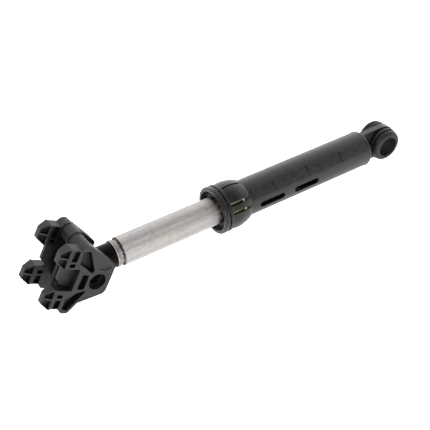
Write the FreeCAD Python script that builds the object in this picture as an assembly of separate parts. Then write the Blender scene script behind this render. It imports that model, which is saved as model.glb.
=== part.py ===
import FreeCAD, Part
import math
import os
from FreeCAD import Vector

# Washing machine friction damper, lying with its tube level.
# Millimetres. Origin at the centre of the sleeve's eye, +X from the foot to the eye,
# +Y along the eye and pivot bores, +Z up.

# Clearances
seat_gap = 0.05             # between pieces that are pressed or seated together
running_gap = 0.06          # round a shaft that turns or slides
slide_gap = 0.3             # between pieces that pass each other

# Ram tube
tube_r = 10.0
tube_wall = 1.2
tube_length = 134.0
exposed_tube = 78.8         # bare tube between the rod end and the collar
lip_length = 1.8            # end of the tube beyond the rolled groove
lip_drop = 0.6
roll_width = 3.2
roll_depth = 1.6

# Rod end
pivot_to_tube = 20.5
rod_eye_wall = 1.6
rod_neck_r = 8.7
rod_stub_length = 24.0
pivot_bush_wall = 1.5

# Pivot pin
pin_r = 6.0
pin_wall = 1.8
pin_recess = 4.0            # pin ends lie below the foot's outer faces

# Sleeve
socket_step = 1.7           # sleeve is this much smaller than the ring ahead of it
sleeve_wall = 1.9
sleeve_length = 114.0
end_wall = 3.0
shoulder_round = 1.8
bead_height = 0.8
bead_offset = 0.8
bead_width = 1.8
slot_width = 4.6
slot_length = 21.5
slot_offset = 12.5          # socket end to the first slot
slot_count = 2
step_pitch = 30.0           # along the sleeve, from slot to slot and step to step
step_count = 3
step_width = 1.1
step_depth = 0.8
step_offset = 25.6          # socket end to the first step
panel_depth = 0.3
panel_offset = 7.0
panel_angle = 32.5
panel_middle = 46.0         # from straight up, round the tube

# Eye
eye_to_shoulder = 18.0
eye_r = 12.8
eye_width = 4.8
eye_bore_r = 9.6
neck_width = 4.4

# Eye bush
bush_bore_r = 7.9
bush_length = 21.6
bush_root_width = 1.2       # groove between the eye and the bush's lip
bush_lip_r = 12.3
bush_lip_width = 2.4
bush_groove_r = 10.8
bush_groove_width = 0.9
bush_flange_r = 11.8
bush_flange_width = 1.2
bush_nose_r = 8.8

# Collar at the sleeve's mouth
collar_wall = 2.0
collar_lip = 1.2
mouth_lip = 0.6             # collar's mouth is narrower than the rings in it
flange_length = 3.4
ring_groove_width = 1.3
ring_groove_depth = 1.2
ring_bridge_count = 18      # ties across the ring groove
ring_bridge_angle = 3.2
ring_bridge_drop = 0.35
band_width = 2.0
petal_root_drop = 1.2       # petals leave the band this far below its face
belly_drop = 0.2            # fullest part of the petals, below the band's face
bend_drop = 1.0             # where the petals start to close on the sleeve, below the band's face
bend_share = 0.59           # of that bend still left halfway to the tips
finger_overlap = 5.0        # fingers reach this far over the sleeve
finger_tip_wall = 0.9
finger_count = 3
finger_angle = 13.4
finger_gap_angle = 8.7      # gaps beside each finger
petal_gap_angle = 5.2       # gap between the two petals that lie between fingers
finger_turn = 61.5          # middle of the first finger, from straight up towards -Y
petal_round = 3.0

# Rings in the collar
lining_thickness = 2.5
carrier_wall = 2.5
carrier_lip = 1.2
carrier_waist = 1.7
carrier_length = 14.5
carrier_mouth_gap = 0.6
window_angle = 6.6          # windows in the carrier, a pair for each finger
window_spread = 27.3        # between the two windows of a pair
carrier_turn = 67.4         # middle of the first pair, from straight up towards -Y
guide_length = 3.0
guide_rim = 1.0
guide_rib_height = 1.6
guide_rib_width = 0.9
guide_rib_count = 24

# Inside the sleeve
inner_guide_flange = 4.0
inner_guide_stub = 12.0
inner_guide_bore_r = 5.5
bump_length = 5.0
bump_nose_r = 7.0

# Foot, in its own frame: forward towards the prong tips, down across the prong rows,
# both measured from the pivot
foot_tilt = 28.4            # prongs point up from the tube's line by this angle
foot_half_width = 17.5
plate_thickness = 7.4
foot_front = 21.0
foot_top = 25.9
foot_rear = 9.3
foot_shoulder = 12.6
foot_heel = 8.4
lobe_root_forward = 8.8
lobe_root_drop = 16.5
lobe_drop = 24.4
lobe_back = 7.8
lobe_fore = 2.4
bar_r = 5.0
bar_step = 0.7
bar_inset = 0.4             # bar lies inside the plates' outline
front_wall = 2.5
front_wall_set = 7.0        # front wall stands this far behind the foot's front
front_wall_rise = 3.0       # open above this, up to the bar
front_wall_drop = 14.0
front_rib_width = 2.6
rib = 2.0
pocket_depth = 5.2
shallow_depth = 0.6
stem_pocket_depth = 3.7
inner_pocket_depth = 2.6
pocket_round = 0.9
plate_corner_r = 2.7
heel_r = 4.5

# Snap prongs
prong_pitch = 30.0
prong_rise = 0.8            # middle of the two rows, above the pivot
stem_height = 13.8
stem_length = 6.8
head_length = 6.8
barb_height = 16.4
barb_thickness = 8.2
tip_height = 7.6
tip_thickness = 3.4
head_rib = 1.2
head_rim = 0.85
head_web = 1.0
head_round = 0.9
panel_reach = 6.0           # web between the stems, beyond the foot's front
panel_drop = 10.7           # length of that web's front edge

# Places along the tube, worked out from the eye to the foot
shoulder_x = -eye_to_shoulder
socket_x = shoulder_x - sleeve_length
carrier_x = socket_x - carrier_length
guide_x = carrier_x - guide_length
mouth_x = guide_x - collar_lip
petal_x = mouth_x + flange_length + ring_groove_width + band_width
collar_tip_x = socket_x + finger_overlap
tube_x = mouth_x - exposed_tube
pivot_x = tube_x - pivot_to_tube
tube_end_x = tube_x + tube_length
bore_end_x = shoulder_x - end_wall

# Radii that follow from the fits
tube_inner_r = tube_r - tube_wall
lining_inner_r = tube_r + running_gap
lining_outer_r = lining_inner_r + lining_thickness
carrier_r = lining_outer_r + seat_gap + carrier_wall
sleeve_r = carrier_r - socket_step
collar_inner_r = carrier_r + seat_gap
flange_r = collar_inner_r + collar_wall
sleeve_bore_r = sleeve_r - sleeve_wall
bead_r = sleeve_r + bead_height
mouth_r = carrier_r - mouth_lip
pivot_hole_r = pin_r + seat_gap
bush_inner_r = pin_r + running_gap
rod_bore_r = bush_inner_r + pivot_bush_wall + seat_gap
rod_eye_r = rod_bore_r + rod_eye_wall
plate_inner = foot_half_width - plate_thickness
rod_eye_half = plate_inner - slide_gap
stem_rows = [-prong_rise - prong_pitch / 2, -prong_rise + prong_pitch / 2]

origin = Vector(0, 0, 0)
along_x = Vector(1, 0, 0)
along_y = Vector(0, 1, 0)
along_z = Vector(0, 0, 1)


def closed_wire(points):
    # A point is joined by a line, and a pair of points by an arc through the first of them.
    here = points[0]
    edges = []
    for step in points[1:] + [points[0]]:
        if isinstance(step, tuple):
            edges.append(Part.Arc(here, step[0], step[1]).toShape())
            here = step[1]
        elif here.distanceToPoint(step) > 0:
            edges.append(Part.LineSegment(here, step).toShape())
            here = step
    return Part.Wire(edges)


def xr(x, r):
    return Vector(x, 0, r)


def yr(y, r):
    return Vector(0, y, r)


def turned(points, axis=along_x, angle=360):
    return Part.Face(closed_wire(points)).revolve(origin, axis, angle)


def round_bar(r, x, half_length):
    return Part.makeCylinder(r, 2 * half_length, Vector(x, -half_length, 0), along_y)


def block(x0, x1, y0, y1, z0, z1):
    return Part.makeBox(x1 - x0, y1 - y0, z1 - z0, Vector(x0, y0, z0))


def fused(solids):
    return solids[0].multiFuse(solids[1:]).removeSplitter()


def band_sector(x0, x1, r0, r1, middle, angle):
    # Piece of a ring round the tube, its middle turned from straight up towards -Y.
    face = Part.Face(closed_wire([xr(x0, r0), xr(x1, r0), xr(x1, r1), xr(x0, r1)]))
    face.rotate(origin, along_x, middle - angle / 2)
    return face.revolve(origin, along_x, angle)


def make_ram_tube():
    lip_r = tube_r - lip_drop
    roll_x = tube_x + lip_length
    roll_mid_x = roll_x + roll_width / 2
    roll_end_x = roll_x + roll_width
    return turned([
        xr(tube_x, lip_r), xr(roll_x, lip_r),
        (xr(roll_mid_x, tube_r - roll_depth), xr(roll_end_x, tube_r)),
        xr(tube_end_x, tube_r), xr(tube_end_x, tube_inner_r), xr(roll_end_x, tube_inner_r),
        (xr(roll_mid_x, tube_inner_r - roll_depth), xr(roll_x, lip_r - tube_wall)),
        xr(tube_x, lip_r - tube_wall),
    ])


def make_rod_end():
    stub_r = tube_inner_r - seat_gap
    lip_r = stub_r - lip_drop
    stub_end_x = tube_x + rod_stub_length
    roll_x = tube_x + lip_length - seat_gap
    roll_mid_x = tube_x + lip_length + roll_width / 2
    roll_end_x = tube_x + lip_length + roll_width + seat_gap
    stub = turned([
        xr(pivot_x, 0), xr(pivot_x, rod_neck_r), xr(tube_x, rod_neck_r), xr(tube_x, lip_r),
        xr(roll_x, lip_r), (xr(roll_mid_x, stub_r - roll_depth), xr(roll_end_x, stub_r)),
        xr(stub_end_x, stub_r), xr(stub_end_x, 0),
    ])
    eye = round_bar(rod_eye_r, pivot_x, rod_eye_half)
    return fused([stub, eye]).cut(round_bar(rod_bore_r, pivot_x, foot_half_width))


def make_pivot_bush():
    outer = round_bar(rod_bore_r - seat_gap, pivot_x, rod_eye_half)
    return outer.cut(round_bar(bush_inner_r, pivot_x, foot_half_width))


def make_pivot_pin():
    outer = round_bar(pin_r, pivot_x, foot_half_width - pin_recess)
    return outer.cut(round_bar(pin_r - pin_wall, pivot_x, foot_half_width))


def make_inner_guide():
    face_x = tube_end_x + running_gap
    flange_end_x = face_x + inner_guide_flange
    stub_r = tube_inner_r - running_gap
    flange_r_inner = sleeve_bore_r - slide_gap
    return turned([
        xr(tube_end_x - inner_guide_stub, inner_guide_bore_r), xr(tube_end_x - inner_guide_stub, stub_r),
        xr(face_x, stub_r), xr(face_x, flange_r_inner),
        xr(flange_end_x, flange_r_inner), xr(flange_end_x, inner_guide_bore_r),
    ])


def make_bump_stop():
    nose_x = bore_end_x - bump_length
    return turned([
        xr(bore_end_x, 0), xr(bore_end_x, sleeve_bore_r - slide_gap),
        (xr(nose_x + bump_length / 3, (sleeve_bore_r + bump_nose_r) / 2), xr(nose_x, bump_nose_r)),
        xr(nose_x, 0),
    ])


def make_friction_lining():
    x0 = carrier_x + carrier_lip + seat_gap
    x1 = socket_x - carrier_lip - seat_gap
    return turned([
        xr(x0, lining_inner_r), xr(x0, lining_outer_r), xr(x1, lining_outer_r), xr(x1, lining_inner_r),
    ])


def make_lining_carrier():
    lip_r = tube_r + carrier_mouth_gap
    pocket_r = lining_outer_r + seat_gap
    waist_r = carrier_r - carrier_waist
    front_x = carrier_x + carrier_lip
    back_x = socket_x - carrier_lip
    ring = turned([
        xr(carrier_x, lip_r), xr(carrier_x, carrier_r), xr(front_x, carrier_r), xr(front_x, waist_r),
        xr(back_x, waist_r), xr(back_x, carrier_r), xr(socket_x, carrier_r), xr(socket_x, lip_r),
        xr(back_x, lip_r), xr(back_x, pocket_r), xr(front_x, pocket_r), xr(front_x, lip_r),
    ])
    windows = []
    for n in range(finger_count):
        for side in (-1, 1):
            middle = carrier_turn + 360 / finger_count * n + side * window_spread / 2
            windows.append(band_sector(front_x, back_x, lining_outer_r, carrier_r, middle, window_angle))
    return ring.cut(windows)


def make_mouth_guide():
    face_x = guide_x + guide_rib_height
    rim_r = carrier_r - guide_rim
    ring = turned([
        xr(guide_x, carrier_r), xr(carrier_x, carrier_r), xr(carrier_x, lining_inner_r),
        xr(face_x, lining_inner_r), xr(face_x, rim_r), xr(guide_x, rim_r),
    ])
    rib_inner_r = (tube_r + rim_r) / 2
    half = guide_rib_width / 2
    ribs = []
    for n in range(guide_rib_count):
        one = block(guide_x, face_x + guide_rim, -half, half, rib_inner_r, rim_r + guide_rim / 2)
        one.rotate(origin, along_x, 360 / guide_rib_count * n)
        ribs.append(one)
    return fused([ring] + ribs)


def collar_gap(angle, turn, sides):
    # Gap between the collar's tongues, rounding the tips of the petals on the given sides of it.
    half = collar_inner_r * math.sin(math.radians(angle / 2))
    past = collar_tip_x + collar_wall
    bend_x = collar_tip_x - petal_round
    diagonal = petal_round * math.sqrt(0.5)
    faces = [Part.Face(closed_wire([
        Vector(petal_x, -half, 0), Vector(past, -half, 0), Vector(past, half, 0), Vector(petal_x, half, 0),
    ]))]
    for side in sides:
        corner_y = side * (half + petal_round)
        via = Vector(bend_x + diagonal, corner_y - side * diagonal, 0)
        faces.append(Part.Face(closed_wire([
            Vector(bend_x, 0, 0), Vector(bend_x, side * half, 0), (via, Vector(collar_tip_x, corner_y, 0)),
            Vector(past, corner_y, 0), Vector(past, 0, 0),
        ])))
    cutters = []
    for face in faces:
        face.translate(along_z * tube_r)
        cutter = face.extrude(along_z * flange_r)
        cutter.rotate(origin, along_x, turn)
        cutters.append(cutter)
    return cutters


def make_collar():
    groove_x = mouth_x + flange_length
    band_x = groove_x + ring_groove_width
    hook_r = sleeve_r + seat_gap
    hook_x = socket_x + bead_offset + bead_width + seat_gap
    bend_r = flange_r - bend_drop
    tip_r = hook_r + finger_tip_wall
    bend_via_r = tip_r + (bend_r - tip_r) * bend_share
    edge = collar_wall / 2
    corner = edge * (1 - math.sqrt(0.5))
    shell = turned([
        xr(mouth_x, mouth_r), xr(mouth_x, flange_r - edge),
        (xr(mouth_x + corner, flange_r - corner), xr(mouth_x + edge, flange_r)),
        xr(groove_x, flange_r), xr(groove_x, flange_r - ring_groove_depth),
        xr(band_x, flange_r - ring_groove_depth), xr(band_x, flange_r), xr(petal_x, flange_r),
        xr(petal_x, flange_r - petal_root_drop),
        (xr((petal_x + socket_x) / 2, flange_r - belly_drop), xr(socket_x, bend_r)),
        (xr((socket_x + collar_tip_x) / 2, bend_via_r), xr(collar_tip_x, tip_r)),
        xr(collar_tip_x, hook_r), xr(hook_x, hook_r), xr(hook_x, bead_r + seat_gap),
        xr(socket_x, collar_inner_r), xr(guide_x, collar_inner_r), xr(guide_x, mouth_r),
    ])
    pitch = 360 / finger_count
    beside = (finger_angle + finger_gap_angle) / 2
    gaps = []
    for n in range(finger_count):
        turn = finger_turn + pitch * n
        gaps += collar_gap(finger_gap_angle, turn - beside, [1])
        gaps += collar_gap(finger_gap_angle, turn + beside, [-1])
        gaps += collar_gap(petal_gap_angle, turn + pitch / 2, [-1, 1])
    bridge_root_r = flange_r - ring_groove_depth - seat_gap
    bridge_r = flange_r - ring_bridge_drop
    bridges = []
    for n in range(ring_bridge_count):
        turn = 360 / ring_bridge_count * n
        bridges.append(band_sector(groove_x - seat_gap, band_x + seat_gap, bridge_root_r, bridge_r, turn,
                                   ring_bridge_angle))
    return fused([shell] + bridges).cut(gaps)


def side_slot(x0):
    # Round-ended slot through both sides of the sleeve.
    half = slot_width / 2
    first = x0 + half
    last = x0 + slot_length - half
    face = Part.Face(closed_wire([
        Vector(first, -sleeve_r, half), Vector(last, -sleeve_r, half),
        (Vector(last + half, -sleeve_r, 0), Vector(last, -sleeve_r, -half)),
        Vector(first, -sleeve_r, -half),
        (Vector(first - half, -sleeve_r, 0), Vector(first, -sleeve_r, half)),
    ]))
    return face.extrude(along_y * 2 * sleeve_r)


def make_sleeve():
    bead_x = socket_x + bead_offset
    corner = shoulder_round * (1 - math.sqrt(0.5))
    tube = turned([
        xr(socket_x, sleeve_bore_r), xr(socket_x, sleeve_r), xr(bead_x, sleeve_r), xr(bead_x, bead_r),
        xr(bead_x + bead_width, bead_r), xr(bead_x + bead_width, sleeve_r),
        xr(shoulder_x - shoulder_round, sleeve_r),
        (xr(shoulder_x - corner, sleeve_r - corner), xr(shoulder_x, sleeve_r - shoulder_round)),
        xr(shoulder_x, 0), xr(bore_end_x, 0), xr(bore_end_x, sleeve_bore_r),
    ])
    ring = round_bar(eye_r, 0, eye_width / 2)
    neck = block(bore_end_x, 0, -neck_width / 2, neck_width / 2, -eye_r, eye_r)
    cuts = [round_bar(eye_bore_r, 0, eye_width)]
    for n in range(slot_count):
        cuts.append(side_slot(socket_x + slot_offset + step_pitch * n))
    for middle in (panel_middle, -panel_middle, 180 - panel_middle, 180 + panel_middle):
        cuts.append(band_sector(socket_x + panel_offset, shoulder_x - shoulder_round,
                                sleeve_r - panel_depth, sleeve_r + panel_depth, middle, panel_angle))
        for offset in [panel_offset] + [step_offset + step_pitch * n for n in range(step_count)]:
            x0 = socket_x + offset
            cuts.append(band_sector(x0, x0 + step_width, sleeve_r - step_depth, sleeve_r + step_depth,
                                    middle, panel_angle))
    return fused([tube, ring, neck]).cut(cuts)


def make_eye_bush():
    end = bush_length / 2
    seat = eye_width / 2 + seat_gap
    lip_start = seat + bush_root_width
    lip_end = lip_start + bush_lip_width
    flange_start = lip_end + bush_groove_width
    flange_end = flange_start + bush_flange_width
    nose_via_y = flange_end + (end - flange_end) * math.sqrt(0.5)
    nose_via_r = bush_nose_r + (bush_flange_r - bush_nose_r) * math.sqrt(0.5)
    waist_r = eye_bore_r - seat_gap
    right = [
        yr(seat, waist_r), yr(seat, bush_groove_r), yr(lip_start, bush_groove_r),
        yr(lip_start, bush_lip_r), yr(lip_end, bush_lip_r), yr(lip_end, bush_groove_r),
        yr(flange_start, bush_groove_r), yr(flange_start, bush_flange_r), yr(flange_end, bush_flange_r),
        (yr(nose_via_y, nose_via_r), yr(end, bush_nose_r)), yr(end, bush_bore_r),
    ]
    left = [
        yr(-end, bush_bore_r), yr(-end, bush_nose_r),
        (yr(-nose_via_y, nose_via_r), yr(-flange_end, bush_flange_r)),
        yr(-flange_start, bush_flange_r), yr(-flange_start, bush_groove_r), yr(-lip_end, bush_groove_r),
        yr(-lip_end, bush_lip_r), yr(-lip_start, bush_lip_r), yr(-lip_start, bush_groove_r),
        yr(-seat, bush_groove_r), yr(-seat, waist_r),
    ]
    return turned(right + left, along_y)


def foot_point(forward, down, y=0.0):
    return Vector(-forward, y, -down)


def rounded_outline(corners, y):
    # Outline in the foot's side view from (forward, down, corner radius).
    starts, mids, ends = [], [], []
    for n, (forward, down, radius) in enumerate(corners):
        here = foot_point(forward, down, y)
        before = foot_point(*corners[n - 1][:2], y)
        after = foot_point(*corners[(n + 1) % len(corners)][:2], y)
        back = (before - here).normalize()
        on = (after - here).normalize()
        half_angle = back.getAngle(on) / 2
        reach = radius / math.tan(half_angle)
        starts.append(here + back * reach)
        ends.append(here + on * reach)
        mids.append(here + (back + on).normalize() * (radius / math.sin(half_angle) - radius))
    points = [ends[0]]
    for n in list(range(1, len(corners))) + [0]:
        points.append(starts[n])
        if corners[n][2] > 0:
            points.append((mids[n], ends[n]))
    return Part.Face(closed_wire(points))


def slab(corners, y0, y1):
    return rounded_outline(corners, y0).extrude(Vector(0, y1 - y0, 0))


def box_outline(forward0, forward1, down0, down1, radius):
    return [(forward0, down0, radius), (forward1, down0, radius),
            (forward1, down1, radius), (forward0, down1, radius)]


def plate_outline():
    stem_bottom = stem_rows[1] + stem_height / 2
    return [
        (foot_front, -foot_top, bar_r),
        (foot_front - bar_r - pocket_round, -foot_top, pocket_round),
        (-foot_rear, -foot_shoulder, plate_corner_r),
        (-foot_rear, foot_heel, heel_r),
        (lobe_root_forward, lobe_root_drop, plate_corner_r),
        (foot_front - lobe_back, lobe_drop, plate_corner_r),
        (foot_front - lobe_fore, lobe_drop, plate_corner_r),
        (foot_front, stem_bottom, pocket_round),
    ]


def deep_pockets():
    # Coring of the side plates, seen from outside: three webs meet at the ring round the pivot.
    upper, lower = stem_rows
    gap_top = upper + stem_height / 2
    gap_bottom = lower - stem_height / 2
    hub_r = pivot_hole_r + rib
    middle_x = foot_front - 2.3 * rib
    central = box_outline(middle_x, foot_front + stem_length, gap_top, gap_bottom, pocket_round)
    triangle = [
        (foot_front - rib / 2, -foot_top + 2 * rib, pocket_round),
        (foot_front - bar_r - rib, -foot_top + 1.8 * rib, pocket_round),
        (hub_r * 0.7, -hub_r * 1.05, pocket_round),
        (hub_r * 0.8, -hub_r * 0.75, pocket_round / 2),
        (foot_front - 1.2 * rib, gap_top - 2 * rib, pocket_round),
    ]
    slot = box_outline(hub_r, middle_x - 1.6 * rib, gap_top + 2 * rib, gap_bottom - rib / 2,
                       1.6 * pocket_round)
    tail = [
        (hub_r * 0.8, hub_r * 0.85, pocket_round / 2),
        (middle_x - 2 * rib, gap_bottom + 0.8 * rib, pocket_round),
        (foot_front - rib, lower, pocket_round),
        (foot_front - lobe_fore, lobe_drop - 1.5 * rib, pocket_round),
        (foot_front - lobe_back + rib / 2, lobe_drop - rib, pocket_round),
        (hub_r * 0.75, hub_r, pocket_round / 2),
    ]
    return [central, triangle, slot, tail]


def stem_pockets():
    # Two pockets in each stem: a narrow one towards the middle of the foot and a wider one outside it.
    back = foot_front + rib / 4
    front = foot_front + stem_length - rib
    outlines = []
    for down, inward, shift in zip(stem_rows, (1, -1), (0.0, 0.9 * rib)):
        near_edge = down + inward * (stem_height / 2 - 0.6 * rib - shift)
        split = down + inward * (1.5 * rib - shift)
        far_edge = down - inward * (stem_height / 2 - 0.35 * rib)
        outlines.append(box_outline(back, front, *sorted((near_edge, split)), pocket_round / 2))
        wide_edge = split - inward * 0.7 * rib
        outlines.append(box_outline(back, front, *sorted((wide_edge, far_edge)), pocket_round / 2))
    return outlines


def head_pockets(down):
    # Two tapered pockets in a prong's head, above and below its middle rib.
    base = foot_front + stem_length + head_rim
    tip = foot_front + stem_length + head_length - head_rim
    outlines = []
    for way in (-1, 1):
        outlines.append([
            (base, down + way * head_rib / 2, 0.0), (tip, down + way * head_rib / 2, 0.0),
            (tip, down + way * (tip_height / 2 - head_rim / 2), 0.0),
            (base, down + way * (barb_height / 2 - 1.5 * head_rim), 0.0),
        ])
    return outlines


def prong_head(down, middle_y):
    base = foot_front + stem_length
    wires = []
    for forward, height, thickness in ((base, barb_height, barb_thickness),
                                       (base + head_length, tip_height, tip_thickness)):
        low, high = down - height / 2, down + height / 2
        near, far = middle_y - thickness / 2, middle_y + thickness / 2
        wires.append(Part.makePolygon([
            foot_point(forward, low, near), foot_point(forward, high, near),
            foot_point(forward, high, far), foot_point(forward, low, far), foot_point(forward, low, near),
        ]))
    head = Part.makeLoft(wires, True, True)
    across = [edge for edge in head.Edges if abs(edge.tangentAt(edge.FirstParameter).dot(along_y)) > 0.99]
    return head.makeFillet(head_round, across)


def make_foot_bracket():
    bar_forward = foot_front - bar_r - bar_step - bar_inset
    bar_down = -foot_top + bar_r + bar_step + bar_inset
    middle_y = foot_half_width - plate_thickness / 2
    web = plate_thickness - pocket_depth
    upper, lower = stem_rows
    gap_top = upper + stem_height / 2
    gap_bottom = lower - stem_height / 2
    stem_front = foot_front + stem_length
    solids, cuts = [], []
    for side in (-1, 1):
        outer = side * foot_half_width
        inner = side * plate_inner
        solids.append(slab(plate_outline(), inner, outer))
        solids.append(slab([
            (foot_front - rib, gap_top - rib, 0.0), (foot_front + panel_reach, gap_top - rib, 0.0),
            (foot_front + panel_reach, gap_top + panel_drop, pocket_round),
            (foot_front - rib, gap_bottom + rib, 0.0),
        ], inner, inner + side * web))
        for down in stem_rows:
            solids.append(slab(box_outline(foot_front - rib, stem_front, down - stem_height / 2,
                                           down + stem_height / 2, 0.0), inner, outer))
            solids.append(prong_head(down, side * middle_y))
            for outline in head_pockets(down):
                for way in (-1, 1):
                    cuts.append(slab(outline, side * middle_y + way * head_web / 2,
                                     side * middle_y + way * barb_thickness / 2))
        for outline in deep_pockets():
            cuts.append(slab(outline, outer - side * pocket_depth, outer))
        for outline in stem_pockets():
            cuts.append(slab(outline, outer - side * stem_pocket_depth, outer))
            cuts.append(slab(outline, inner, inner + side * inner_pocket_depth))
        hub_r = pivot_hole_r + rib
        cuts.append(slab([
            (hub_r * 0.9, -foot_top + 3 * rib, pocket_round),
            (-foot_rear + rib, -foot_shoulder + 0.8 * rib, pocket_round),
            (-hub_r * 0.4, -hub_r * 1.1, pocket_round / 2),
            (hub_r * 0.3, -hub_r * 1.1, pocket_round / 2),
        ], outer - side * shallow_depth, outer))
    joined = plate_inner + web / 2
    wall_front = foot_front - front_wall_set
    wall_back = wall_front - front_wall
    solids.append(slab(box_outline(wall_back, wall_front, -front_wall_rise, front_wall_drop, 0.0),
                       -joined, joined))
    solids.append(slab(box_outline(wall_back, foot_front, -front_wall_rise, front_wall_drop, 0.0),
                       -front_rib_width / 2, front_rib_width / 2))
    bar_at = foot_point(bar_forward, bar_down, 0)
    solids.append(Part.makeCylinder(bar_r, joined, bar_at, -along_y))
    solids.append(Part.makeCylinder(bar_r + bar_step, joined, bar_at, along_y))
    cuts.append(round_bar(pivot_hole_r, 0, 2 * foot_half_width))
    foot = fused(solids).cut(cuts).removeSplitter()
    foot.rotate(origin, along_y, foot_tilt)
    foot.translate(Vector(pivot_x, 0, 0))
    return foot


os.makedirs("parts", exist_ok=True)
pieces = {
    "foot_bracket": make_foot_bracket,
    "pivot_pin": make_pivot_pin,
    "pivot_bush": make_pivot_bush,
    "rod_end": make_rod_end,
    "ram_tube": make_ram_tube,
    "inner_guide": make_inner_guide,
    "friction_lining": make_friction_lining,
    "lining_carrier": make_lining_carrier,
    "mouth_guide": make_mouth_guide,
    "collar": make_collar,
    "sleeve": make_sleeve,
    "eye_bush": make_eye_bush,
    "bump_stop": make_bump_stop,
}
for name, make in pieces.items():
    shape = make()
    shape.exportStep(f"parts/{name}.step")
    print(f"{name:16s} solids {len(shape.Solids)} valid {shape.isValid()} volume {shape.Volume:9.1f}")
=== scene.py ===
import math
import bmesh
import bpy
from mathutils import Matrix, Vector


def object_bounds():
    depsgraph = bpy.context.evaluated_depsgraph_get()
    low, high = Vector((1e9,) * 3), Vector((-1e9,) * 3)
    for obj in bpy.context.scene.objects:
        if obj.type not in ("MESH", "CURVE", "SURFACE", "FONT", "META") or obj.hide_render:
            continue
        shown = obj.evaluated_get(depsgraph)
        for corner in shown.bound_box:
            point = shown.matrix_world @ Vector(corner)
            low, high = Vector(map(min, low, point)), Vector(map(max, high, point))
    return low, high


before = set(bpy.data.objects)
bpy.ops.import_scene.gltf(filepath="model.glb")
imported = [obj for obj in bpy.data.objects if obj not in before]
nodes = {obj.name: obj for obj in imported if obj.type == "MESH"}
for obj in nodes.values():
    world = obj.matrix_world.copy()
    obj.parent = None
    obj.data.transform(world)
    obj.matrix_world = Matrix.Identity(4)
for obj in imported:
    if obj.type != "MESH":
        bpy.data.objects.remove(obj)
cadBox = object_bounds()
scene = bpy.context.scene
mm = 0.001
print("frame loaded,", len(nodes), "nodes")


def addNode(tree, kind, **values):
    # lower case names are the node's own settings, the others are its sockets
    node = tree.nodes.new(kind)
    for key, value in values.items():
        if key[0].islower():
            setattr(node, key, value)
        else:
            node.inputs[key.replace("_", " ")].default_value = value
    return node


def newMaterial(name, **values):
    mat = bpy.data.materials.new(name)
    mat.use_nodes = True
    tree = mat.node_tree
    tree.nodes.clear()
    out = tree.nodes.new("ShaderNodeOutputMaterial")
    shader = addNode(tree, "ShaderNodeBsdfPrincipled", **values)
    tree.links.new(shader.outputs["BSDF"], out.inputs["Surface"])
    return mat, tree, shader


def newGroup(name, inputs, outputs):
    group = bpy.data.node_groups.new(name, "ShaderNodeTree")
    for socketName, default in inputs.items():
        socket = group.interface.new_socket(name=socketName, in_out="INPUT", socket_type="NodeSocketFloat")
        socket.default_value = default
    for socketName, kind in outputs.items():
        group.interface.new_socket(name=socketName, in_out="OUTPUT", socket_type=kind)
    return group, group.nodes.new("NodeGroupInput"), group.nodes.new("NodeGroupOutput")


def useGroup(tree, group, **values):
    node = tree.nodes.new("ShaderNodeGroup")
    node.node_tree = group
    for key, value in values.items():
        node.inputs[key].default_value = value
    return node


def mixColour(tree, mask, first, second):
    # a mask turns one colour into another, each a fixed colour or a socket
    mix = addNode(tree, "ShaderNodeMix", data_type="RGBA")
    tree.links.new(mask, mix.inputs["Factor"])
    for side, colour in (("A", first), ("B", second)):
        socket = next(s for s in mix.inputs if s.name == side and s.type == "RGBA")
        if isinstance(colour, tuple):
            socket.default_value = (*colour, 1)
        else:
            tree.links.new(colour, socket)
    return next(s for s in mix.outputs if s.type == "RGBA")


def spread(tree, value, low, high, start=0.0, end=1.0):
    # maps a value from start..end onto low..high
    ramp = addNode(tree, "ShaderNodeMapRange", From_Min=start, From_Max=end, To_Min=low, To_Max=high)
    tree.links.new(value, ramp.inputs["Value"])
    return ramp.outputs["Result"]


def dress(mat, *names):
    for name in names:
        nodes[name].data.materials.clear()
        nodes[name].data.materials.append(mat)


# spark-eroded mould skin: fine pimples, and soft patches where the melt cooled unevenly
mouldSkin, groupIn, groupOut = newGroup(
    "mouldSkin", {"Grain": 1600.0, "Patch": 90.0},
    {"Height": "NodeSocketFloat", "Mottle": "NodeSocketFloat"})
coord = addNode(mouldSkin, "ShaderNodeTexCoord")
grain = addNode(mouldSkin, "ShaderNodeTexNoise", Detail=2.0, Roughness=0.6)
patch = addNode(mouldSkin, "ShaderNodeTexNoise", Detail=3.0, Roughness=0.55)
for noise, size in ((grain, "Grain"), (patch, "Patch")):
    mouldSkin.links.new(coord.outputs["Object"], noise.inputs["Vector"])
    mouldSkin.links.new(groupIn.outputs[size], noise.inputs["Scale"])
mouldSkin.links.new(grain.outputs["Fac"], groupOut.inputs["Height"])
mouldSkin.links.new(spread(mouldSkin, patch.outputs["Fac"], 0.0, 1.0, 0.3, 0.7), groupOut.inputs["Mottle"])

# rounded-over edges, and a broken mask that lightens them: partly rubbing wear, partly a painted highlight
# along the edges
edgeWearAndHighlight, groupIn, groupOut = newGroup(
    "edgeWearAndHighlight", {"Radius": 0.4 * mm, "Breakup": 400.0},
    {"Mask": "NodeSocketFloat", "Normal": "NodeSocketVector"})
rounded = addNode(edgeWearAndHighlight, "ShaderNodeBevel", samples=8)
facing = addNode(edgeWearAndHighlight, "ShaderNodeNewGeometry")
along = addNode(edgeWearAndHighlight, "ShaderNodeVectorMath", operation="DOT_PRODUCT")
coord = addNode(edgeWearAndHighlight, "ShaderNodeTexCoord")
breakup = addNode(edgeWearAndHighlight, "ShaderNodeTexNoise", Detail=4.0)
both = addNode(edgeWearAndHighlight, "ShaderNodeMath", operation="MULTIPLY", use_clamp=True)
edgeWearAndHighlight.links.new(groupIn.outputs["Radius"], rounded.inputs["Radius"])
edgeWearAndHighlight.links.new(groupIn.outputs["Breakup"], breakup.inputs["Scale"])
edgeWearAndHighlight.links.new(coord.outputs["Object"], breakup.inputs["Vector"])
edgeWearAndHighlight.links.new(rounded.outputs["Normal"], along.inputs[0])
edgeWearAndHighlight.links.new(facing.outputs["Normal"], along.inputs[1])
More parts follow.
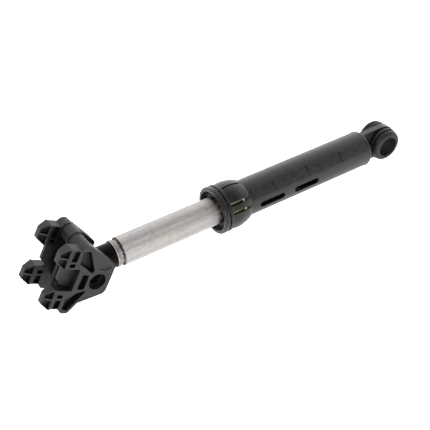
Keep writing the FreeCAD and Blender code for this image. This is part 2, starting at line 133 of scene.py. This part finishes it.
edgeWearAndHighlight.links.new(spread(edgeWearAndHighlight, along.outputs["Value"], 1.0, 0.0, 0.72, 0.99), both.inputs[0])
edgeWearAndHighlight.links.new(spread(edgeWearAndHighlight, breakup.outputs["Fac"], 0.1, 1.0, 0.4, 0.6), both.inputs[1])
edgeWearAndHighlight.links.new(both.outputs["Value"], groupOut.inputs["Mask"])
edgeWearAndHighlight.links.new(rounded.outputs["Normal"], groupOut.inputs["Normal"])

# painted shade: darker colour in the corners and at the bottom of pockets, where less light reaches
cornerShadeSettings = {"colour": (0.0015, 0.0014, 0.0013), "closed": 0.26, "open": 0.62}
cornerShade, groupIn, groupOut = newGroup("cornerShade", {"Reach": 9.0 * mm}, {"Mask": "NodeSocketFloat"})
shelter = addNode(cornerShade, "ShaderNodeAmbientOcclusion", samples=8, only_local=True)
cornerShade.links.new(groupIn.outputs["Reach"], shelter.inputs["Distance"])
sheltered = spread(
    cornerShade, shelter.outputs["AO"], 1.0, 0.0, cornerShadeSettings["closed"], cornerShadeSettings["open"])
cornerShade.links.new(sheltered, groupOut.inputs["Mask"])

# lengthwise lines left by drawing or by sliding: the noise is pulled out along the damper
drawLines, groupIn, groupOut = newGroup(
    "drawLines", {"Fineness": 700.0, "Length": 0.02},
    {"Lines": "NodeSocketFloat", "Bands": "NodeSocketFloat"})
coord = addNode(drawLines, "ShaderNodeTexCoord")
parts = addNode(drawLines, "ShaderNodeSeparateXYZ")
pull = addNode(drawLines, "ShaderNodeMath", operation="MULTIPLY")
joined = addNode(drawLines, "ShaderNodeCombineXYZ")
lines = addNode(drawLines, "ShaderNodeTexNoise", Detail=5.0, Roughness=0.65)
bandSize = addNode(drawLines, "ShaderNodeMath", operation="MULTIPLY")
bandSize.inputs[1].default_value = 0.22  # bands are this much coarser than the lines
bands = addNode(drawLines, "ShaderNodeTexNoise", Detail=2.0)
drawLines.links.new(coord.outputs["Object"], parts.inputs["Vector"])
drawLines.links.new(parts.outputs["X"], pull.inputs[0])
drawLines.links.new(groupIn.outputs["Length"], pull.inputs[1])
drawLines.links.new(pull.outputs["Value"], joined.inputs["X"])
drawLines.links.new(parts.outputs["Y"], joined.inputs["Y"])
drawLines.links.new(parts.outputs["Z"], joined.inputs["Z"])
drawLines.links.new(groupIn.outputs["Fineness"], bandSize.inputs[0])
drawLines.links.new(groupIn.outputs["Fineness"], lines.inputs["Scale"])
drawLines.links.new(bandSize.outputs["Value"], bands.inputs["Scale"])
for noise in (lines, bands):
    drawLines.links.new(joined.outputs["Vector"], noise.inputs["Vector"])
drawLines.links.new(lines.outputs["Fac"], groupOut.inputs["Lines"])
drawLines.links.new(spread(drawLines, bands.outputs["Fac"], 0.0, 1.0, 0.3, 0.7), groupOut.inputs["Bands"])
print("node groups built")


def moulding(name, settings):
    # satin black moulding: grain, cooling patches, edges lightened by wear and by a painted highlight, and
    # painted shade in the corners
    mat, tree, shader = newMaterial(
        name, Specular_IOR_Level=settings["gloss"], Sheen_Weight=settings["haze"], Sheen_Roughness=0.3)
    skin = useGroup(tree, mouldSkin, Grain=settings["grain"], Patch=settings["patch"])
    edgeNode = useGroup(tree, edgeWearAndHighlight, Radius=settings["edge"], Breakup=settings["breakup"])
    colour = mixColour(tree, skin.outputs["Mottle"], settings["dark"], settings["light"])
    # edge lightening: partly wear, partly painted highlight
    wearAndHighlight = spread(tree, edgeNode.outputs["Mask"], 0.0, settings["wearAndHighlight"])
    colour = mixColour(tree, wearAndHighlight, colour, settings["wornAndHighlit"])
    # painted shade in the corners and pockets
    paintedShade = useGroup(tree, cornerShade, Reach=settings["reach"])
    colour = mixColour(tree, paintedShade.outputs["Mask"], colour, cornerShadeSettings["colour"])
    tree.links.new(colour, shader.inputs["Base Color"])
    low, high = settings["roughness"]
    tree.links.new(spread(tree, skin.outputs["Mottle"], low, high), shader.inputs["Roughness"])
    bump = addNode(tree, "ShaderNodeBump", Strength=settings["relief"], Distance=0.04 * mm)
    tree.links.new(skin.outputs["Height"], bump.inputs["Height"])
    tree.links.new(edgeNode.outputs["Normal"], bump.inputs["Normal"])
    tree.links.new(bump.outputs["Normal"], shader.inputs["Normal"])
    return mat


footSettings = {
    "dark": (0.0065, 0.0064, 0.0067),
    "light": (0.0165, 0.0163, 0.0168),
    "wornAndHighlit": (0.09, 0.09, 0.09),
    "roughness": (0.46, 0.58),
    "gloss": 0.26,
    "reach": 28.0 * mm,
    "haze": 0.0,
    "grain": 1500.0,
    "patch": 190.0,
    "edge": 0.45 * mm,
    "breakup": 380.0,
    "wearAndHighlight": 0.55,
    "relief": 0.8,
}
dress(moulding("footMoulding", footSettings), "foot_bracket")

sleeveSettings = {
    "dark": (0.0008, 0.0007, 0.001),
    "light": (0.0125, 0.0113, 0.0137),
    "wornAndHighlit": (0.05, 0.05, 0.052),
    "roughness": (0.3, 0.48),
    "gloss": 0.38,
    "reach": 3.0 * mm,
    "haze": 0.04,
    "grain": 1900.0,
    "patch": 380.0,
    "edge": 0.2 * mm,
    "breakup": 300.0,
    "wearAndHighlight": 0.15,
    "relief": 0.8,
}
dress(moulding("sleeveMoulding", sleeveSettings), "sleeve")

collarSettings = {
    "dark": (0.0025, 0.0025, 0.0025),
    "light": (0.0075, 0.0073, 0.007),
    "wornAndHighlit": (0.06, 0.057, 0.05),
    "roughness": (0.3, 0.4),
    "gloss": 0.29,
    "reach": 4.0 * mm,
    "haze": 0.03,
    "grain": 2200.0,
    "patch": 140.0,
    "edge": 0.5 * mm,
    "breakup": 450.0,
    "wearAndHighlight": 0.5,
    "relief": 0.4,
}
dress(moulding("collarMoulding", collarSettings), "collar")

plugSettings = {
    "dark": (0.003, 0.003, 0.0035),
    "light": (0.006, 0.006, 0.007),
    "wornAndHighlit": (0.03, 0.03, 0.03),
    "roughness": (0.28, 0.4),
    "gloss": 0.45,
    "reach": 4.0 * mm,
    "haze": 0.0,
    "grain": 1400.0,
    "patch": 150.0,
    "edge": 0.35 * mm,
    "breakup": 400.0,
    "wearAndHighlight": 0.3,
    "relief": 0.3,
}
dress(moulding("plugMoulding", plugSettings), "inner_guide", "pivot_bush")

# the rod end is darker and duller than the guides, partly a painted shade for the shadow of the foot's
# plates
rodSettings = dict(plugSettings, dark=(0.001, 0.001, 0.0013), light=(0.002, 0.002, 0.0026), gloss=0.06)
dress(moulding("rodMoulding", rodSettings), "rod_end")

# the guide in the mouth is darker than the other guides, with faint edges
guideSettings = {
    "dark": (0.0012, 0.0011, 0.001),
    "light": (0.003, 0.0028, 0.0025),
    "wornAndHighlit": (0.008, 0.007, 0.006),
    "roughness": (0.5, 0.65),
    "gloss": 0.25,
    "reach": 4.0 * mm,
    "haze": 0.0,
    "grain": 1400.0,
    "patch": 260.0,
    "edge": 0.2 * mm,
    "breakup": 400.0,
    "wearAndHighlight": 0.3,
    "relief": 0.3,
}
dress(moulding("guideMoulding", guideSettings), "mouth_guide")

rubberSettings = {
    "dark": (0.006, 0.0057, 0.0066),
    "light": (0.011, 0.0104, 0.012),
    "wornAndHighlit": (0.035, 0.034, 0.037),
    "roughness": (0.5, 0.66),
    "gloss": 0.26,
    "reach": 16.0 * mm,
    "haze": 0.05,
    "grain": 2600.0,
    "patch": 200.0,
    "edge": 0.4 * mm,
    "breakup": 500.0,
    "wearAndHighlight": 0.5,
    "relief": 0.4,
}
dress(moulding("bushRubber", rubberSettings), "eye_bush", "bump_stop")
print("mouldings dressed")

tubeSettings = {
    "radius": 10.0 * mm,
    "bright": (0.395, 0.388, 0.389),
    "dull": (0.268, 0.263, 0.264),
    "polishAndHighlight": (0.5, 0.492, 0.485),
    "warm": (0.382, 0.35, 0.312),
    "speck": (0.18, 0.155, 0.13),
    "greaseAndShade": (0.022, 0.013, 0.008),
    "roughness": (0.5, 0.66),
    "fineness": 650.0,
    "lineLength": 0.012,
    "relief": 0.35,
    "stainSize": 60.0,
    "stainShare": 0.55,
    "speckSize": 350.0,
    "speckShare": 0.3,
    # lighter stripes: degrees from the top, and half the width; polish from the foam, and the stripe at 40
    # degrees is a painted highlight along the side facing the camera
    "stripes": ((40, 9), (112, 10), (203, 14), (298, 12)),
    # grease and painted shade on the lip, in its groove and where the mouth shades the tube: place along
    # the tube and width, in mm
    "seats": ((-228.3, 0.4), (-225.1, 1.2), (-149.2, 3.4)),
    # black grease inside the sleeve, thicker from here to here, in mm
    "film": (0.035, 0.03, 0.027),
    "filmEnds": (-140, -119),
}
mat, tree, shader = newMaterial("drawnSteel", Metallic=1.0, Specular_Tint=(0.75, 0.75, 0.75, 1))
lines = useGroup(tree, drawLines, Fineness=tubeSettings["fineness"], Length=tubeSettings["lineLength"])
coord = addNode(tree, "ShaderNodeTexCoord")
parts = addNode(tree, "ShaderNodeSeparateXYZ")
stain = addNode(tree, "ShaderNodeTexNoise", Scale=tubeSettings["stainSize"], Detail=4.0, Roughness=0.6)
blotch = addNode(tree, "ShaderNodeTexNoise", Scale=tubeSettings["speckSize"], Detail=3.0)
tree.links.new(coord.outputs["Object"], parts.inputs["Vector"])
for noise in (stain, blotch):
    tree.links.new(coord.outputs["Object"], noise.inputs["Vector"])
streaks = spread(tree, lines.outputs["Lines"], 0.0, 1.0, 0.36, 0.64)
colour = mixColour(tree, streaks, tubeSettings["dull"], tubeSettings["bright"])
# lighter stripes: polish, and at 40 degrees a painted highlight
for middle, half in tubeSettings["stripes"]:
    turn = math.radians(middle)
    towards = addNode(tree, "ShaderNodeVectorMath", operation="DOT_PRODUCT")
    towards.inputs[1].default_value = (
        0, -math.sin(turn) / tubeSettings["radius"], math.cos(turn) / tubeSettings["radius"])
    tree.links.new(coord.outputs["Object"], towards.inputs[0])
    edge, full = math.cos(math.radians(half)), math.cos(math.radians(half * 0.3))
    stripe = addNode(tree, "ShaderNodeMath", operation="MULTIPLY", use_clamp=True)
    tree.links.new(spread(tree, towards.outputs["Value"], 0.0, 0.9, edge, full), stripe.inputs[0])
    tree.links.new(spread(tree, lines.outputs["Lines"], 0.45, 1.0, 0.36, 0.6), stripe.inputs[1])
    colour = mixColour(tree, stripe.outputs["Value"], colour, tubeSettings["polishAndHighlight"])
# warm film of old grease in soft patches
patches = spread(tree, stain.outputs["Fac"], 0.0, tubeSettings["stainShare"], 0.46, 0.66)
colour = mixColour(tree, patches, colour, tubeSettings["warm"])
# small dark specks of a part that has been in use
specks = spread(tree, blotch.outputs["Fac"], 0.0, tubeSettings["speckShare"], 0.48, 0.72)
colour = mixColour(tree, specks, colour, tubeSettings["speck"])
# darker bands: grease on the lip, with painted shade in its groove and at the mouth
for place, width in tubeSettings["seats"]:
    away = addNode(tree, "ShaderNodeMath", operation="SUBTRACT")
    away.inputs[1].default_value = place * mm
    size = addNode(tree, "ShaderNodeMath", operation="ABSOLUTE")
    near = addNode(tree, "ShaderNodeMath", operation="MULTIPLY", use_clamp=True)
    tree.links.new(parts.outputs["X"], away.inputs[0])
    tree.links.new(away.outputs["Value"], size.inputs[0])
    fade = spread(tree, size.outputs["Value"], 1.0, 0.0, width * mm / 3, width * mm)
    tree.links.new(fade, near.inputs[0])
    tree.links.new(spread(tree, blotch.outputs["Fac"], 0.45, 1.0, 0.35, 0.6), near.inputs[1])
    colour = mixColour(tree, near.outputs["Value"], colour, tubeSettings["greaseAndShade"])
start, end = tubeSettings["filmEnds"]
film = spread(tree, parts.outputs["X"], 0.0, 1.0, start * mm, end * mm)
tree.links.new(mixColour(tree, film, colour, tubeSettings["film"]), shader.inputs["Base Color"])
low, high = tubeSettings["roughness"]
tree.links.new(spread(tree, lines.outputs["Lines"], low, high, 0.3, 0.7), shader.inputs["Roughness"])
bump = addNode(tree, "ShaderNodeBump", Strength=tubeSettings["relief"], Distance=0.03 * mm)
tree.links.new(lines.outputs["Lines"], bump.inputs["Height"])
tree.links.new(bump.outputs["Normal"], shader.inputs["Normal"])
dress(mat, "ram_tube")

# the pin is coloured near black, a painted shade for the dark inside of the pivot hole
pinSettings = {
    "bright": (0.03, 0.029, 0.028),
    "dull": (0.01, 0.01, 0.0105),
    "roughness": (0.5, 0.7),
    "fineness": 1200.0,
    "lineLength": 1.0,
}
mat, tree, shader = newMaterial("paintedShadePin", Metallic=1.0)
lines = useGroup(tree, drawLines, Fineness=pinSettings["fineness"], Length=pinSettings["lineLength"])
colour = mixColour(tree, lines.outputs["Bands"], pinSettings["dull"], pinSettings["bright"])
tree.links.new(colour, shader.inputs["Base Color"])
low, high = pinSettings["roughness"]
tree.links.new(spread(tree, lines.outputs["Lines"], low, high), shader.inputs["Roughness"])
dress(mat, "pivot_pin")

amberSettings = {
    "clear": (0.58, 0.48, 0.3),
    "stained": (0.26, 0.18, 0.09),
    "roughness": (0.25, 0.4),
    "grain": 1500.0,
    "patch": 180.0,
}
mat, tree, shader = newMaterial("amberRing")
skin = useGroup(tree, mouldSkin, Grain=amberSettings["grain"], Patch=amberSettings["patch"])
colour = mixColour(tree, skin.outputs["Mottle"], amberSettings["stained"], amberSettings["clear"])
tree.links.new(colour, shader.inputs["Base Color"])
low, high = amberSettings["roughness"]
tree.links.new(spread(tree, skin.outputs["Mottle"], low, high), shader.inputs["Roughness"])
dress(mat, "lining_carrier")

foamSettings = {
    "dry": (0.03, 0.025, 0.017),
    "oily": (0.006, 0.0045, 0.003),
    "cells": 900.0,
    "depth": 0.3 * mm,
    "roughness": 0.7,
}
mat, tree, shader = newMaterial("greasedFoam", Roughness=foamSettings["roughness"])
coord = addNode(tree, "ShaderNodeTexCoord")
cells = addNode(tree, "ShaderNodeTexVoronoi", Scale=foamSettings["cells"])
tree.links.new(coord.outputs["Object"], cells.inputs["Vector"])
colour = mixColour(tree, cells.outputs["Distance"], foamSettings["oily"], foamSettings["dry"])
tree.links.new(colour, shader.inputs["Base Color"])
bump = addNode(tree, "ShaderNodeBump", Strength=0.8, Distance=foamSettings["depth"])
tree.links.new(cells.outputs["Distance"], bump.inputs["Height"])
tree.links.new(bump.outputs["Normal"], shader.inputs["Normal"])
dress(mat, "friction_lining")
print("metal, amber and foam dressed")

# camera where the photograph was taken from
cameraSettings = {
    "place": (-0.4397, -0.4306, 0.4273),
    "azimuth": -34.07,
    "elevation": 39.71,
    "lens": 81.9,
    "sensor": 36.0,
}
camData = bpy.data.cameras.new("photoCamera")
camData.lens = cameraSettings["lens"]
camData.sensor_width = cameraSettings["sensor"]
cam = bpy.data.objects.new("photoCamera", camData)
scene.collection.objects.link(cam)
cam.location = cameraSettings["place"]
tilt = math.radians(90 - cameraSettings["elevation"])
cam.rotation_euler = (tilt, 0, math.radians(cameraSettings["azimuth"]))
scene.camera = cam

# white table that glows a little, as over a light box
tableSettings = {
    "size": 6.0,
    "middle": -0.125,
    "under": 0.2 * mm,
    "colour": (0.6, 0.6, 0.6, 1),
    "glow": 1.4,
}
bm = bmesh.new()
bmesh.ops.create_grid(bm, x_segments=1, y_segments=1, size=tableSettings["size"] / 2)
tableTop = cadBox[0][2] - tableSettings["under"]
bmesh.ops.translate(bm, verts=bm.verts, vec=(tableSettings["middle"], 0, tableTop))
tableMesh = bpy.data.meshes.new("table")
bm.to_mesh(tableMesh)
bm.free()
table = bpy.data.objects.new("table", tableMesh)
scene.collection.objects.link(table)
mat, tree, shader = newMaterial(
    "paleTable", Base_Color=tableSettings["colour"], Roughness=0.9, Specular_IOR_Level=0.0,
    Emission_Color=(1, 1, 1, 1), Emission_Strength=tableSettings["glow"])
tableMesh.materials.append(mat)

# white tent: bright behind the damper, and dim round the camera, where its open side is
tentSettings = {
    "toCamera": (-0.431, -0.637, 0.639),
    "steps": ((0.0, 2.9), (0.28, 2.7), (0.44, 2.1), (0.578, 1.6), (0.695, 1.15), (0.8, 0.7), (0.877, 0.4),
              (0.95, 0.3), (1.0, 0.3)),
    "reflector": (1.3, -0.4, 0.25),  # the side beyond the foot is this much brighter, from here to here
    "seen": 1.5,
}
world = bpy.data.worlds.new("tent")
scene.world = world
world.use_nodes = True
tree = world.node_tree
background = tree.nodes["Background"]
coord = addNode(tree, "ShaderNodeTexCoord")
turned = addNode(tree, "ShaderNodeVectorMath", operation="DOT_PRODUCT")
turned.inputs[1].default_value = tentSettings["toCamera"]
ramp = addNode(tree, "ShaderNodeValToRGB")
for step, (place, bright) in enumerate(tentSettings["steps"]):
    stop = ramp.color_ramp.elements[step] if step < 2 else ramp.color_ramp.elements.new(place)
    stop.position = place
    stop.color = (bright, bright, bright, 1)
tree.links.new(coord.outputs["Generated"], turned.inputs[0])
tree.links.new(spread(tree, turned.outputs["Value"], 0.0, 1.0, -1.0, 1.0), ramp.inputs["Fac"])
tree.links.new(ramp.outputs["Color"], background.inputs["Color"])
parts = addNode(tree, "ShaderNodeSeparateXYZ")
tree.links.new(coord.outputs["Generated"], parts.inputs["Vector"])
bright, start, end = tentSettings["reflector"]
tree.links.new(spread(tree, parts.outputs["X"], bright, 1.0, start, end), background.inputs["Strength"])
# the camera itself sees plain white behind the table
plain = addNode(tree, "ShaderNodeBackground", Color=(1, 1, 1, 1), Strength=tentSettings["seen"])
seen = addNode(tree, "ShaderNodeLightPath")
either = addNode(tree, "ShaderNodeMixShader")
tree.links.new(seen.outputs["Is Camera Ray"], either.inputs[0])
tree.links.new(background.outputs["Background"], either.inputs[1])
tree.links.new(plain.outputs["Background"], either.inputs[2])
tree.links.new(either.outputs["Shader"], tree.nodes["World Output"].inputs["Surface"])

# soft box in front, low enough to reach the floors of the foot's pockets
boxSettings = {"place": (-0.58, -1.12, 0.26), "aim": (-0.25, 0.0, 0.0), "size": 0.3, "power": 11.0}
boxData = bpy.data.lights.new("frontBox", "AREA")
boxData.shape = "DISK"
boxData.size = boxSettings["size"]
boxData.energy = boxSettings["power"]
box = bpy.data.objects.new("frontBox", boxData)
scene.collection.objects.link(box)
box.location = boxSettings["place"]
box.rotation_euler = (Vector(boxSettings["aim"]) - box.location).to_track_quat("-Z", "Y").to_euler()
box.visible_camera = False
scene.view_settings.view_transform = "Standard"
print("camera, table and light set")
